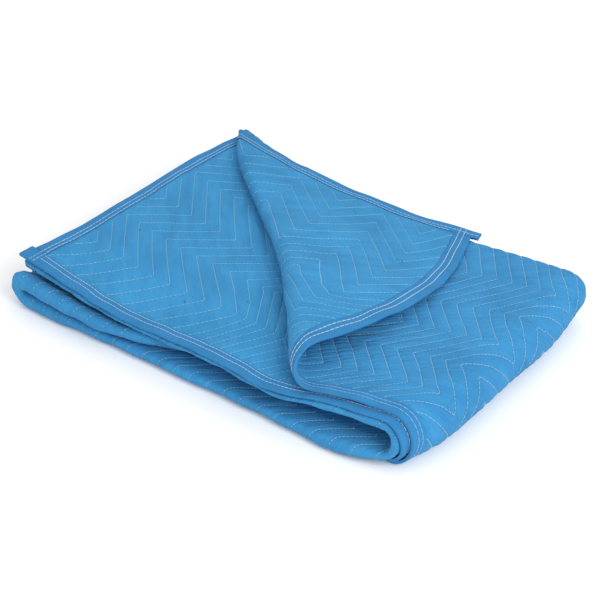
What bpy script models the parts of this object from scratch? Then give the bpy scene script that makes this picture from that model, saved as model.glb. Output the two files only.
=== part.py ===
"""A quilted moving blanket, folded into a bundle, with one corner of its top layer turned back.

The blanket is a flat quilted sheet with a binding strip sewn over each edge. It is folded across into
four layers, and that pack is folded along into three: top, bottom and the middle one tucked between
them. Every piece is drawn flat, in (along, across, offset) of the open blanket, is cut by planes where
it has to bend, and is then carried through the same folds. Metres, +Z up, underside at z = 0.
"""

import math

import bmesh
import bpy
import numpy as np

# The open blanket
LONG = 2.03
WIDE = 1.83
HALF_PLY = 0.00225

# Quilting: rows of zigzag stitches, each side of a zigzag at 45 degrees to the edges
ROW_PITCH = 0.0305
HALF_ZIGZAG = WIDE / 24
STITCH_SINK = 0.0012
CREST_RISE = 0.0003

# Binding strips, and the pressed edge of the sheet inside them
BINDING_WIDTH = 0.022
BINDING_WALL = 0.0007
CLEARANCE = 0.0005
PRESSED_HALF = 0.0010
PRESSED_WIDTH = BINDING_WIDTH + CLEARANCE
SWELL_WIDTH = 0.028
TAIL = 0.011

# The folds
SPACING = 0.0066
PACK_GAP = 0.001
PANEL = 0.655
BACK = 0.448
FLOOR_LIFT = 0.5 * SPACING - HALF_PLY
TOP_PACK = 8 * SPACING + 2 * PACK_GAP
BUNDLE_HEIGHT = 12 * SPACING + 2 * PACK_GAP
RIGHT_RADIUS = 4 * SPACING + PACK_GAP
LEFT_RADIUS = 2 * SPACING + PACK_GAP / 2
OUTER_RADIUS = 1.5 * SPACING
INNER_RADIUS = 0.5 * SPACING
LOOP_RISE = 0.026

# The front ends of the four layers: loop is the fold, upper and second the bound edges
FRONT_IN_TOP_PACK = {"upper": 0.010, "second": 0.0, "loop": 0.004, "loop_radius": 0.5 * SPACING}
FRONT_IN_LOWER_PACKS = {"upper": 0.026, "second": 0.020, "loop": -0.010, "loop_radius": 1.5 * SPACING}
CHANGE = 0.10
MIDDLE_SETBACK = 0.055

# Places across and along the bundle where every layer is cut
PLACES = (0.030, 0.070, 0.140, 0.240, 0.350)
PLACES_ALONG = (0.12, 0.22, 0.32, 0.42, 0.48, 0.53, 0.575, 0.615)

# The turned corner: its fold line runs from the back end to the front edge, and widens as it goes
TURN_BACK = (0.0, BACK - 0.010)
TURN_FRONT = (0.525, 0.013)
TURN_RADIUS_BACK = 0.0058
TURN_RADIUS_FRONT = 0.021
TURN_STRETCH = 1.05
TURN_SHEAR = 0.30
TURN_FALL = 0.16
TURN_STEPS = 7
TURN_BOW = 0.029
TURN_BOW_REACH = 0.20
FLAP_SIDE_BULGE = 0.038
FLAP_BACK_SAG = 0.002

# How the real bundle departs from a neat one, in sections along it. The columns are the section's
# place, the shift of its low and top front edges and of its back, and its height at front, inside, back.
SECTIONS = (
    # place, front_low, front_top, back, height_front, height_inside, height_back
    (0.00, -0.017, -0.012, 0.042, 1.03, 1.00, 0.99),
    (0.10, -0.012, -0.020, 0.010, 0.92, 1.00, 0.96),
    (0.20, -0.005, -0.023, -0.012, 0.80, 0.98, 0.92),
    (0.30, -0.001, -0.021, -0.022, 0.82, 0.98, 0.89),
    (0.40, 0.004, -0.019, -0.026, 0.86, 0.98, 0.89),
    (0.50, 0.008, -0.020, -0.024, 0.82, 0.98, 0.91),
    (0.58, 0.004, -0.002, -0.017, 0.98, 1.00, 0.94),
    (0.64, -0.003, 0.011, -0.014, 1.02, 1.02, 0.97),
    (0.70, 0.000, 0.018, -0.012, 1.04, 1.03, 0.99),
)
INSIDE_PLACE = 0.14

# The ends of the bundle, in sections across it: the place, and the shift of the end low down and on top
RIGHT_END = (
    # place, low, top
    (-0.02, -0.033, -0.032),
    (0.02, -0.028, -0.027),
    (0.07, -0.013, -0.013),
    (0.15, -0.006, -0.006),
    (0.24, -0.002, -0.002),
    (0.34, 0.004, 0.004),
    (0.45, -0.010, 0.002),
)
LEFT_END = (
    # place, low, top
    (-0.02, 0.027, -0.004),
    (0.02, 0.013, -0.001),
    (0.07, 0.003, 0.005),
    (0.15, 0.000, 0.004),
    (0.26, 0.000, -0.001),
    (0.36, 0.000, -0.003),
    (0.45, 0.002, 0.006),
)
LEFT_REACH = 0.16

# The middle of the bundle's box, which becomes the origin
MIDDLE = (0.3355, 0.2309)

BLUE = (0.045, 0.27, 0.62)
BINDING_BLUE = (0.055, 0.25, 0.60)

TOP_END = PANEL
RIGHT_END_OF_BEND = TOP_END + math.pi * RIGHT_RADIUS
BOTTOM_END = RIGHT_END_OF_BEND + PANEL
LEFT_END_OF_BEND = BOTTOM_END + math.pi * LEFT_RADIUS


def smooth_step(x):
    x = np.clip(x, 0.0, 1.0)
    return x * x * (3 - 2 * x)


def smooth_table(x, places, values):
    """A smooth curve through a table, flat beyond its ends."""
    places = np.asarray(places, float)
    values = np.asarray(values, float)
    slopes = np.gradient(values, places)
    x = np.clip(x, places[0], places[-1])
    i = np.clip(np.searchsorted(places, x, side="right") - 1, 0, len(places) - 2)
    width = places[i + 1] - places[i]
    f = (x - places[i]) / width
    start = (1 + 2 * f) * (1 - f) ** 2 * values[i] + f * (1 - f) ** 2 * width * slopes[i]
    end = f * f * (3 - 2 * f) * values[i + 1] + f * f * (f - 1) * width * slopes[i + 1]
    return start + end


def front_ends(along):
    """The front ends of the layers, which change once the pack has gone round the right end."""
    edges = smooth_step((along - TOP_END) / CHANGE - 0.2)
    loop = smooth_step((along - TOP_END) / CHANGE - 0.7)
    turned = {"upper": edges, "second": edges, "loop": loop, "loop_radius": loop}
    return {
        name: (1 - turned[name]) * first + turned[name] * FRONT_IN_LOWER_PACKS[name]
        for name, first in FRONT_IN_TOP_PACK.items()
    }


def section_lengths(ends):
    """The lengths of the seven stretches of one section, from the upper bound edge to the second one."""
    nothing = 0 * ends["loop"]
    return [
        BACK - ends["upper"],
        nothing + math.pi * OUTER_RADIUS,
        BACK - ends["loop"],
        math.pi * ends["loop_radius"],
        BACK - ends["loop"],
        nothing + math.pi * INNER_RADIUS,
        BACK - ends["second"],
    ]


def across_starts():
    """Where each stretch starts across the open blanket, and where the last one ends."""
    lengths = section_lengths(FRONT_IN_TOP_PACK)
    starts = np.concatenate([[0.0], np.cumsum(lengths)])
    return starts * WIDE / starts[-1]


def fold_across(along, across):
    """Place across the bundle, and height in the pack, of a point of the open blanket."""
    ends = front_ends(along)
    lengths = section_lengths(ends)
    starts = across_starts()
    run = [
        (across - first) / (last - first) * length
        for first, last, length in zip(starts, starts[1:], lengths)
    ]
    angle = [run[1] / OUTER_RADIUS, run[3] / ends["loop_radius"], run[5] / INNER_RADIUS]
    loop_height = INNER_RADIUS + ends["loop_radius"]
    rise = (2 * ends["loop_radius"] - SPACING) * (1 - smooth_step(run[4] / LOOP_RISE))
    places = [
        ends["upper"] + run[0],
        BACK + OUTER_RADIUS * np.sin(angle[0]),
        BACK - run[2],
        ends["loop"] - ends["loop_radius"] * np.sin(angle[1]),
        ends["loop"] + run[4],
        BACK + INNER_RADIUS * np.sin(angle[2]),
        BACK - run[6],
    ]
    heights = [
        3.5 * SPACING + 0 * along,
        2 * SPACING + OUTER_RADIUS * np.cos(angle[0]),
        0.5 * SPACING + 0 * along,
        loop_height - ends["loop_radius"] * np.cos(angle[1]),
        1.5 * SPACING + rise,
        2 * SPACING - INNER_RADIUS * np.cos(angle[2]),
        2.5 * SPACING + 0 * along,
    ]
    stretch_index = sum((across >= start).astype(int) for start in starts[1:-1])
    place = np.choose(stretch_index, places)
    height = np.choose(stretch_index, heights)
    return place, height, stretch_index


def fold_along(along, height):
    """Place along the bundle, and height over the floor, of a point of the pack."""
    right_angle = (along - TOP_END) / RIGHT_RADIUS
    left_angle = (along - BOTTOM_END) / LEFT_RADIUS
    right = 2 * SPACING + PACK_GAP + height
    left = PACK_GAP / 2 + height
    places = [
        along,
        PANEL + right * np.sin(right_angle),
        PANEL - (along - RIGHT_END_OF_BEND),
        -left * np.sin(left_angle),
        along - LEFT_END_OF_BEND,
    ]
    heights = [
        TOP_PACK + height,
        6 * SPACING + PACK_GAP + right * np.cos(right_angle),
        4 * SPACING - height,
        4 * SPACING + PACK_GAP / 2 - left * np.cos(left_angle),
        4 * SPACING + PACK_GAP + height,
    ]
    bends = (TOP_END, RIGHT_END_OF_BEND, BOTTOM_END, LEFT_END_OF_BEND)
    index = sum((along >= bend).astype(int) for bend in bends)
    return np.choose(index, places), np.choose(index, heights), index


def turn_frame():
    """Length and directions of the turned corner's fold line, and the direction away from the corner."""
    line = np.subtract(TURN_FRONT, TURN_BACK)
    length = float(np.hypot(*line))
    line = line / length
    return length, line, np.array([-line[1], line[0]])


def turn_radius(share):
    return TURN_RADIUS_BACK + (TURN_RADIUS_FRONT - TURN_RADIUS_BACK) * np.clip(share, 0, 1.05)


def turn_corner(u, v):
    """Where the turned corner carries a point of the top layer, and its height over that layer."""
    length, line, away = turn_frame()
    du, dv = u - TURN_BACK[0], v - TURN_BACK[1]
    share = (du * line[0] + dv * line[1]) / length
    side = du * away[0] + dv * away[1]
    radius = turn_radius(share)
    past = radius - side
    angle = np.clip(past / radius, 0, math.pi)
    beyond = np.maximum(past - math.pi * radius, 0)
    new_side = np.where(past > 0, radius - radius * np.sin(angle) + TURN_STRETCH * beyond, side)
    new_share = share * length + TURN_SHEAR * beyond
    rest = SPACING
    lifted = rest + (2 * radius - rest) * np.exp(-((beyond / TURN_FALL) ** 2))
    height = np.where(beyond > 0, lifted, radius * (1 - np.cos(angle)))
    turned = smooth_step(beyond / 0.05)
    edge_run = np.clip(u / TURN_FRONT[0], 0, 1)
    end_run = np.clip(v / TURN_BACK[1], 0, 1)
    bulge = FLAP_SIDE_BULGE * np.sin(math.pi * edge_run) * (1 - end_run) ** 2 * turned
    sag = FLAP_BACK_SAG * np.sin(math.pi * end_run) * (1 - edge_run) ** 2 * turned
    bow = TURN_BOW * np.sin(math.pi * np.clip(share, 0, 1)) ** 2
    bow = bow * np.exp(-((new_side / TURN_BOW_REACH) ** 2))
    bow = bow * smooth_step((BACK - v) / 0.12) * smooth_step((TOP_END - u) / 0.12)
    new_side = new_side + bow
    new_u = TURN_BACK[0] + new_share * line[0] + new_side * away[0] + bulge
    new_v = TURN_BACK[1] + new_share * line[1] + new_side * away[1] - sag
    return new_u, new_v, np.where(past > 0, height, 0.0)


def folded(along, across):
    """The middle of the sheet in the neat bundle, as an array of points."""
    place, height, stretch_index = fold_across(along, across)
    u, h, pack = fold_along(along, height)
    setback = MIDDLE_SETBACK * (1 - place / BACK) * smooth_step((u - 0.15) / 0.30)
    place = np.where(pack == 4, place + setback, place)
    new_u, new_v, lift = turn_corner(u, place)
    corner = (stretch_index == 0) & (pack == 0)
    return np.stack(
        [
            np.where(corner, new_u, u),
            np.where(corner, new_v, place),
            np.where(corner, h + lift, h) - FLOOR_LIFT,
        ],
        axis=-1,
    )


def settled(points):
    """The neat bundle's points, moved to where the real bundle's edges and heights are."""
    u, v, h = points[..., 0], points[..., 1], points[..., 2]
    table = np.array(SECTIONS)
    low, top, back, front_z, inside_z, back_z = (
        smooth_table(u, table[:, 0], table[:, column]) for column in range(1, 7)
    )
    level = np.clip(h / BUNDLE_HEIGHT, 0, 1)
    front = low + (top - low) * level
    share = v / BACK
    right = np.array(RIGHT_END)
    left = np.array(LEFT_END)
    right_low, right_top = (smooth_table(v, right[:, 0], right[:, column]) for column in (1, 2))
    left_low, left_top = (smooth_table(v, left[:, 0], left[:, column]) for column in (1, 2))
    end_shift = (right_low + (right_top - right_low) * level) * smooth_step(u / PANEL)
    end_shift = end_shift + (left_low + (left_top - left_low) * level) * (1 - smooth_step(u / LEFT_REACH))
    inward = smooth_step(v / INSIDE_PLACE)
    backward = smooth_step((v - INSIDE_PLACE) / (BACK - INSIDE_PLACE))
    scale = front_z + (inside_z - front_z) * inward + (back_z - inside_z) * backward
    return np.stack(
        [
            u + end_shift - MIDDLE[0],
            v + (1 - share) * front + share * back - MIDDLE[1],
            h * scale,
        ],
        axis=-1,
    )


def carried(flat):
    """Flat points, as rows of along, across and offset, carried through the folds."""
    along, across, offset = flat.T
    step = 1e-4
    middle = folded(along, across)
    by_along = folded(along + step, across) - folded(along - step, across)
    by_across = folded(along, across + step) - folded(along, across - step)
    normal = np.cross(by_along, by_across)
    normal /= np.linalg.norm(normal, axis=1)[:, None]
    return settled(middle + normal * offset[:, None])


def zigzag(across):
    """How far a stitch row has wandered along the blanket at a place across it."""
    run = across / HALF_ZIGZAG
    return HALF_ZIGZAG * np.abs(run - 2 * np.round(run / 2))


def prism(outline, start, end, axis):
    """A closed prism in flat space. outline holds its section, and axis is 0 to run along, 1 across."""
    bm = bmesh.new()
    rings = []
    for place in (start, end):
        ring = []
        for side, offset in outline:
            point = (place, side, offset) if axis == 0 else (side, place, offset)
            ring.append(bm.verts.new(point))
        rings.append(ring)
    count = len(outline)
    for i in range(count):
        j = (i + 1) % count
        bm.faces.new((rings[0][i], rings[0][j], rings[1][j], rings[1][i]))
    bm.faces.new(rings[0])
    bm.faces.new(rings[1])
    bmesh.ops.recalc_face_normals(bm, faces=bm.faces)
    return bm


def region(low_s, high_s, low_t, high_t, side=0):
    """A test for face middles: inside a box of the open blanket, on one side of it or on both."""
    def holds(middle):
        inside = low_s < middle.x < high_s and low_t < middle.y < high_t
        return inside and side * middle.z >= 0
    return holds


def cut(bm, point, normal, within=None):
    """Cuts by a plane every face, or those whose middle is within a region."""
    faces = [face for face in bm.faces if within is None or within(face.calc_center_median())]
    edges = {edge for face in faces for edge in face.edges}
    verts = {vert for face in faces for vert in face.verts}
    bmesh.ops.bisect_plane(
        bm, geom=faces + list(edges) + list(verts), dist=2e-5, plane_co=point, plane_no=normal
    )


def bend_stations(start, end, steps):
    return [start + (end - start) * i / steps for i in range(steps + 1)]


def along_stations():
    """Places along the blanket where every piece is cut so that the packs can bend and settle."""
    changed = TOP_END + 1.7 * CHANGE
    stations = [0, PRESSED_WIDTH, SWELL_WIDTH, LONG - SWELL_WIDTH, LONG - PRESSED_WIDTH, LONG]
    stations += PLACES_ALONG
    stations += bend_stations(TOP_END, RIGHT_END_OF_BEND, 7)
    stations += bend_stations(RIGHT_END_OF_BEND, changed, 3)[1:]
    stations += bend_stations(changed, BOTTOM_END, 3)[1:-1]
    stations += bend_stations(BOTTOM_END, LEFT_END_OF_BEND, 7)
    stations += bend_stations(LEFT_END_OF_BEND, LONG - SWELL_WIDTH, 6)[1:-1]
    return stations


def edge_stations():
    """Closer places along the edge that is turned back, where the stitch rows and crests meet it."""
    count = int((TURN_FRONT[0] + 0.04 - SWELL_WIDTH) / (ROW_PITCH / 2))
    return [SWELL_WIDTH + i * ROW_PITCH / 2 for i in range(1, count)]


def across_bends():
    """The starts and ends of the three bends across the open blanket."""
    starts = [float(start) for start in across_starts()]
    return [(starts[1], starts[2]), (starts[3], starts[4]), (starts[5], starts[6])]


def across_stations(quilted):
    """Places across the blanket where every piece is cut, so that all of them bend and settle alike."""
    starts = across_starts()
    upper, loop, second = across_bends()
    stations = [0, PRESSED_WIDTH, SWELL_WIDTH, WIDE - SWELL_WIDTH, WIDE - PRESSED_WIDTH, WIDE]
    for (start, end), steps in zip((upper, loop, second), (5, 6, 3)):
        stations += bend_stations(start, end, steps)
    stations += [loop[1] + LOOP_RISE / 3, loop[1] + 2 * LOOP_RISE / 3]
    for place in PLACES:
        rows = (starts[1] - BACK + place, starts[2] + BACK - place)
        rows += (starts[5] - BACK + place, starts[6] + BACK - place)
        stations += rows[1:3] if quilted else rows
    if quilted:
        stations += [starts[1] - BACK + PLACES[0], starts[6] + BACK - PLACES[0]]
        for first, last in quilted_layers():
            stations += quilt_rows(first, last)[1:-1]
    return stations


def quilted_layers():
    """The two layers of the top pack that show, between their swelling edge and their bend."""
    upper, _, second = across_bends()
    return (SWELL_WIDTH, upper[0]), (second[1], WIDE - SWELL_WIDTH)


def turn_cuts(bm, steps, within):
    """Cuts along the fold line of the turned corner, which fan out as its radius grows."""
    length, line, away = turn_frame()
    back, front = np.array(TURN_BACK), np.array(TURN_FRONT)
    edge = FRONT_IN_TOP_PACK["upper"]
    for i in range(steps + 1):
        share = 1 - math.pi * i / steps
        first = back + away * TURN_RADIUS_BACK * share
        last = front + away * TURN_RADIUS_FRONT * share
        run = last - first
        cut(bm, (first[0], first[1] - edge, 0), (-run[1], run[0], 0), within)


def past_turn(u, v):
    """How far a place in the top pack lies from the turned corner's fold line, on the far side of it."""
    _, _, away = turn_frame()
    return (u - TURN_BACK[0]) * away[0] + (v - TURN_BACK[1]) * away[1]


def uncovered(along, across):
    """Whether a point of the top pack's lower bound layer is in the corner that the turn uncovers."""
    return past_turn(along, BACK - (across - across_starts()[6])) < 0.045


def plain_upper(middle):
    """The faces of the upper layer that rest on the layer below and never show."""
    return middle.z < 0 and past_turn(middle.x, middle.y + FRONT_IN_TOP_PACK["upper"]) > 0.07


def plain_second(middle):
    """The faces of the lower bound layer that never show."""
    return middle.z > 0 or not uncovered(middle.x, middle.y)


def half_thickness(along, across):
    """Half the sheet's thickness: pressed under the binding, and quilted where the top pack shows."""
    edge = np.minimum(np.minimum(along, LONG - along), np.minimum(across, WIDE - across))
    swell = smooth_step((edge - PRESSED_WIDTH) / (SWELL_WIDTH - PRESSED_WIDTH))
    row = (along - zigzag(across)) / ROW_PITCH
    crest = 1 - np.abs(2 * (row - np.floor(row)) - 1)
    starts = across_starts()
    in_upper = across < starts[1] - 0.001
    in_second = (across > starts[6] + 0.001) & uncovered(along, across)
    shows = (in_upper | in_second) & (along < TOP_END - 0.001) & (edge > SWELL_WIDTH + 0.001)
    puff = np.where(shows, -STITCH_SINK + (STITCH_SINK + CREST_RISE) * crest, 0.0)
    return PRESSED_HALF + (HALF_PLY - PRESSED_HALF) * swell + puff


def quilt_rows(first, last):
    """The places across the blanket, between two limits, where the zigzags turn."""
    low = math.ceil(first / HALF_ZIGZAG + 0.05)
    high = math.floor(last / HALF_ZIGZAG - 0.05)
    return [first] + [i * HALF_ZIGZAG for i in range(low, high + 1)] + [last]


def quilt_cuts(bm, first, last, plain):
    """Cuts one layer of the top pack along its stitch rows and along the crests between them."""
    turns = quilt_rows(first, last)
    for low, high in zip(turns, turns[1:]):
        slope = 1.0 if zigzag(low + 1e-3) > zigzag(low) else -1.0
        box = region(SWELL_WIDTH, TOP_END, low, high)
        start = zigzag(low)
        count = int((TOP_END + HALF_ZIGZAG) / ROW_PITCH * 2) + 4
        for i in range(-4, count):
            place = start + i * ROW_PITCH / 2
            reach = place + slope * (high - low)
            if max(place, reach) < SWELL_WIDTH or min(place, reach) > TOP_END:
                continue
            cut(bm, (place, low, 0), (1.0, -slope, 0), lambda m: box(m) and not plain(m))


def finished(bm, name, color, roughness):
    """Triangulates a flat solid, carries its points through the folds and makes the object."""
    for vert in bm.verts:
        vert.co.y += 0.1 * vert.co.z
        vert.co.x += 0.1 * vert.co.y
    bmesh.ops.triangulate(bm, faces=bm.faces, quad_method="SHORT_EDGE", ngon_method="BEAUTY")
    for vert in bm.verts:
        vert.co.x -= 0.1 * vert.co.y
        vert.co.y -= 0.1 * vert.co.z
    flat = np.array([vert.co for vert in bm.verts])
    for vert, point in zip(bm.verts, carried(flat)):
        vert.co = point
    bmesh.ops.recalc_face_normals(bm, faces=bm.faces)
    mesh = bpy.data.meshes.new(name)
    bm.to_mesh(mesh)
    bm.free()
    if sum_volume(mesh) < 0:
        mesh.flip_normals()
    mesh.shade_smooth()
    mesh.materials.append(material(name, color, roughness))
    obj = bpy.data.objects.new(name, mesh)
    bpy.context.scene.collection.objects.link(obj)
    print(name, len(mesh.polygons), "triangles")
    return obj


def sum_volume(mesh):
    points = np.array([v.co for v in mesh.vertices])
    corners = points[np.array([p.vertices[:] for p in mesh.polygons])]
    return float(np.linalg.det(corners).sum())


def material(name, color, roughness):
    mat = bpy.data.materials.new(name)
    mat.use_nodes = True
    shader = mat.node_tree.nodes["Principled BSDF"]
    shader.inputs["Base Color"].default_value = (*color, 1.0)
    shader.inputs["Roughness"].default_value = roughness
    return mat


def cut_along(bm, stations, within=None):
    for place in stations:
        cut(bm, (place, 0, 0), (1, 0, 0), within)


def cut_across(bm, quilted, within=None):
    for place in across_stations(quilted):
        cut(bm, (0, place, 0), (0, 1, 0), within)


def quilted_sheet():
    """The quilted cloth itself, one sheet in all its layers."""
    bm = prism(((0, -1), (WIDE, -1), (WIDE, 1), (0, 1)), 0, LONG, 0)
    upper, second = quilted_layers()
    upper_bend = across_bends()[0][0]
    for place in (PRESSED_WIDTH, SWELL_WIDTH, TOP_END):
        cut(bm, (place, 0, 0), (1, 0, 0))
    cut_across(bm, True, region(0, TOP_END, 0, WIDE))
    cut_across(bm, False, region(TOP_END, LONG, 0, WIDE))
    cut_along(bm, along_stations(), region(TOP_END, LONG, 0, WIDE))
    cut_along(bm, edge_stations(), region(0, TOP_END, 0, SWELL_WIDTH))
    for low, high in ((0, SWELL_WIDTH), (upper_bend, WIDE)):
        cut_along(bm, along_stations(), region(0, TOP_END, low, high))
    cut_along(bm, along_stations(), region(0, TOP_END, upper[0], upper[1], -1))
    quilt_cuts(bm, *upper, plain_upper)
    quilt_cuts(bm, *second, plain_second)
    turn_cuts(bm, TURN_STEPS, region(0, TOP_END, 0, upper_bend))
    for vert in bm.verts:
        side = 1 if vert.co.z > 0 else -1
        half = half_thickness(np.array([vert.co.x]), np.array([vert.co.y]))
        vert.co.z = side * float(half[0])
    return finished(bm, "cloth", BLUE, 0.9)


def binding_outline(edge, inward):
    """The section of a binding strip: a channel folded over the sheet's edge, which lies at edge."""
    inner = PRESSED_HALF + CLEARANCE
    outer = inner + BINDING_WALL
    lip = edge + inward * BINDING_WIDTH
    crease = edge - inward * CLEARANCE
    face = crease - inward * BINDING_WALL
    return (
        (lip, outer),
        (face, outer),
        (face, -outer),
        (lip, -outer),
        (lip, -inner),
        (crease, -inner),
        (crease, inner),
        (lip, inner),
    )


def long_binding(name, edge, inward, start, end):
    """A binding strip along one of the long edges, from start to end."""
    bm = prism(binding_outline(edge, inward), start, end, 0)
    cut_along(bm, along_stations())
    if edge == 0:
        cut_along(bm, edge_stations())
        turn_cuts(bm, TURN_STEPS, region(0, TOP_END, -1, 1))
    return finished(bm, name, BINDING_BLUE, 0.85)


def end_binding(name, edge, inward, start, end):
    """A binding strip over one end of the blanket, from start to end across it."""
    bm = prism(binding_outline(edge, inward), start, end, 1)
    cut_across(bm, edge == 0)
    if edge == 0:
        turn_cuts(bm, TURN_STEPS, region(-1, 1, -1, across_bends()[0][0]))
    return finished(bm, name, BINDING_BLUE, 0.85)


def clear_scene():
    for obj in list(bpy.data.objects):
        bpy.data.objects.remove(obj)


def build():
    clear_scene()
    covered = BINDING_WIDTH + CLEARANCE
    shell = CLEARANCE + BINDING_WALL
    quilted_sheet()
    long_binding("binding_second_edge", WIDE, -1, -TAIL, LONG - covered)
    end_binding("binding_start_end", 0, 1, -TAIL, WIDE - covered)
    long_binding("binding_upper_edge", 0, 1, covered, LONG + shell)
    end_binding("binding_finish_end", LONG, -1, covered, WIDE + shell)


build()
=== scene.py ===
# %% [markdown]
# # A folded moving blanket
#
# The real thing is a quilted sheet, 72 by 80 inches, with a binding sewn over each edge. It is folded into
# a flat bundle, and one corner of its top layer is turned back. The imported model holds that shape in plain
# facets. Here the same flat sheet is drawn finely and carried through the same folds, because cloth looks
# real only where its quilting, seams and small waves are shape and not paint.

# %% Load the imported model
import math

import bpy
import numpy as np
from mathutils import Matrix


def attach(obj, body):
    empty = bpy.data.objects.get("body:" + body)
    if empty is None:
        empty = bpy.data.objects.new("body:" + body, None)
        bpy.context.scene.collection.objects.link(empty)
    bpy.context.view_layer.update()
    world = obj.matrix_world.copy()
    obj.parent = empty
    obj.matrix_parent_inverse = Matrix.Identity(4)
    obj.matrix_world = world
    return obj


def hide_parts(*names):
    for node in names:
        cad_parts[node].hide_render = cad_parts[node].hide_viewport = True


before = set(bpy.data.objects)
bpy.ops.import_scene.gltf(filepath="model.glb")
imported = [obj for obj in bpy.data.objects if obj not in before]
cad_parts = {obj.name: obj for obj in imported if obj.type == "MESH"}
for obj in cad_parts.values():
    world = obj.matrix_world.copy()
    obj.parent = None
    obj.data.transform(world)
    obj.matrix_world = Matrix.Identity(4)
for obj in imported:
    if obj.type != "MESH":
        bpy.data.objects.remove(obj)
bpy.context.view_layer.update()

print("packed nodes:", sorted(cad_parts))

# %% [markdown]
# ## Camera
#
# The photograph looks down at the bundle from its open front, a little to the right. A long lens from
# under two metres gives the mild perspective of its edges.

# %% Place the camera
CAMERA_AZIMUTH = math.radians(37.5)
CAMERA_ELEVATION = math.radians(35.5)
CAMERA_DISTANCE = 1.69
CAMERA_LENS = 70
LOOKED_AT = np.array([0.0275, -0.0459, 0.04])

toward_camera = np.array(
    [
        math.sin(CAMERA_AZIMUTH) * math.cos(CAMERA_ELEVATION),
        -math.cos(CAMERA_AZIMUTH) * math.cos(CAMERA_ELEVATION),
        math.sin(CAMERA_ELEVATION),
    ]
)
scene = bpy.context.scene
camera = bpy.data.objects.new("camera", bpy.data.cameras.new("camera"))
camera.data.lens = CAMERA_LENS
camera.data.sensor_width = 36
camera.location = LOOKED_AT + toward_camera * CAMERA_DISTANCE
camera.rotation_euler = (math.pi / 2 - CAMERA_ELEVATION, 0, CAMERA_AZIMUTH)
scene.collection.objects.link(camera)
scene.camera = camera
print("camera at", [round(x, 3) for x in camera.location])

# %% [markdown]
# ## The open blanket and its folds
#
# These are the real sizes of the flat blanket, and the plan of its folds: four layers across, then three
# packs along. They repeat the values that the solids were made from, so that the fine cloth lies exactly
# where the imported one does.

# %% Sizes of the open blanket
LONG = 2.03
WIDE = 1.83
HALF_PLY = 0.00225
ROW_PITCH = 0.0305
HALF_ZIGZAG = WIDE / 24
BINDING_WIDTH = 0.022
BINDING_WALL = 0.0007
CLEARANCE = 0.0005
PRESSED_HALF = 0.0010
PRESSED_WIDTH = BINDING_WIDTH + CLEARANCE
SWELL_WIDTH = 0.028
TAIL = 0.011
LEFT_TAIL = 0.007

# %% Plan of the folds
SPACING = 0.0066
PACK_GAP = 0.001
PANEL = 0.655
BACK = 0.448
FLOOR_LIFT = 0.5 * SPACING - HALF_PLY
TOP_PACK = 8 * SPACING + 2 * PACK_GAP
BUNDLE_HEIGHT = 12 * SPACING + 2 * PACK_GAP
RIGHT_RADIUS = 4 * SPACING + PACK_GAP
LEFT_RADIUS = 2 * SPACING + PACK_GAP / 2
OUTER_RADIUS = 1.5 * SPACING
INNER_RADIUS = 0.5 * SPACING
LOOP_RISE = 0.026
FRONT_IN_TOP_PACK = {"upper": 0.010, "second": 0.0, "loop": 0.004, "loop_radius": 0.5 * SPACING}
FRONT_IN_LOWER_PACKS = {"upper": 0.026, "second": 0.020, "loop": -0.010, "loop_radius": 1.5 * SPACING}
CHANGE = 0.10
MIDDLE_SETBACK = 0.055
TOP_END = PANEL
RIGHT_END_OF_BEND = TOP_END + math.pi * RIGHT_RADIUS
BOTTOM_END = RIGHT_END_OF_BEND + PANEL
LEFT_END_OF_BEND = BOTTOM_END + math.pi * LEFT_RADIUS

# %% Plan of the turned corner
TURN_BACK = (0.0, BACK - 0.010)
TURN_FRONT = (0.525, 0.013)
TURN_RADIUS_BACK = 0.0058
TURN_RADIUS_FRONT = 0.021
TURN_STRETCH = 1.05
TURN_SHEAR = 0.30
TURN_FALL = 0.16
TURN_BOW = 0.029
TURN_BOW_REACH = 0.20
FLAP_SIDE_BULGE = 0.038
FLAP_BACK_SAG = 0.002

# %% How the real bundle departs from a neat one
SECTIONS = (
    # place, front_low, front_top, back, height_front, height_inside, height_back
    (0.00, -0.017, -0.012, 0.042, 1.03, 1.00, 0.99),
    (0.10, -0.012, -0.020, 0.010, 0.92, 1.00, 0.96),
    (0.20, -0.005, -0.023, -0.012, 0.80, 0.98, 0.92),
    (0.30, -0.001, -0.021, -0.022, 0.82, 0.98, 0.89),
    (0.40, 0.004, -0.019, -0.026, 0.86, 0.98, 0.89),
    (0.50, 0.008, -0.020, -0.024, 0.82, 0.98, 0.91),
    (0.58, 0.004, -0.002, -0.017, 0.98, 1.00, 0.94),
    (0.64, -0.003, 0.011, -0.014, 1.02, 1.02, 0.97),
    (0.70, 0.000, 0.018, -0.012, 1.04, 1.03, 0.99),
)
INSIDE_PLACE = 0.14
RIGHT_END = (
    # place, low, top
    (-0.02, -0.033, -0.032),
    (0.02, -0.028, -0.027),
    (0.07, -0.013, -0.013),
    (0.15, -0.006, -0.006),
    (0.24, -0.002, -0.002),
    (0.34, 0.004, 0.004),
    (0.45, -0.010, 0.002),
)
LEFT_END = (
    # place, low, top
    (-0.02, 0.027, -0.004),
    (0.02, 0.013, -0.001),
    (0.07, 0.003, 0.005),
    (0.15, 0.000, 0.004),
    (0.26, 0.000, -0.001),
    (0.36, 0.000, -0.003),
    (0.45, 0.002, 0.006),
)
LEFT_REACH = 0.16
MIDDLE = (0.3355, 0.2309)

# %% [markdown]
# ## Folding by formula
#
# A cloth simulation could fold a sheet, but twelve layers with a set corner would slip and stretch. Each
# fold here is a formula instead: it takes a place on the flat blanket, along and across it, and gives the
# place in the bundle. A sheet, a strip and a thread that go through the same formula stay together.

# %% Smooth steps and tables
def smooth_step(x):
    x = np.clip(x, 0.0, 1.0)
    return x * x * (3 - 2 * x)


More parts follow.
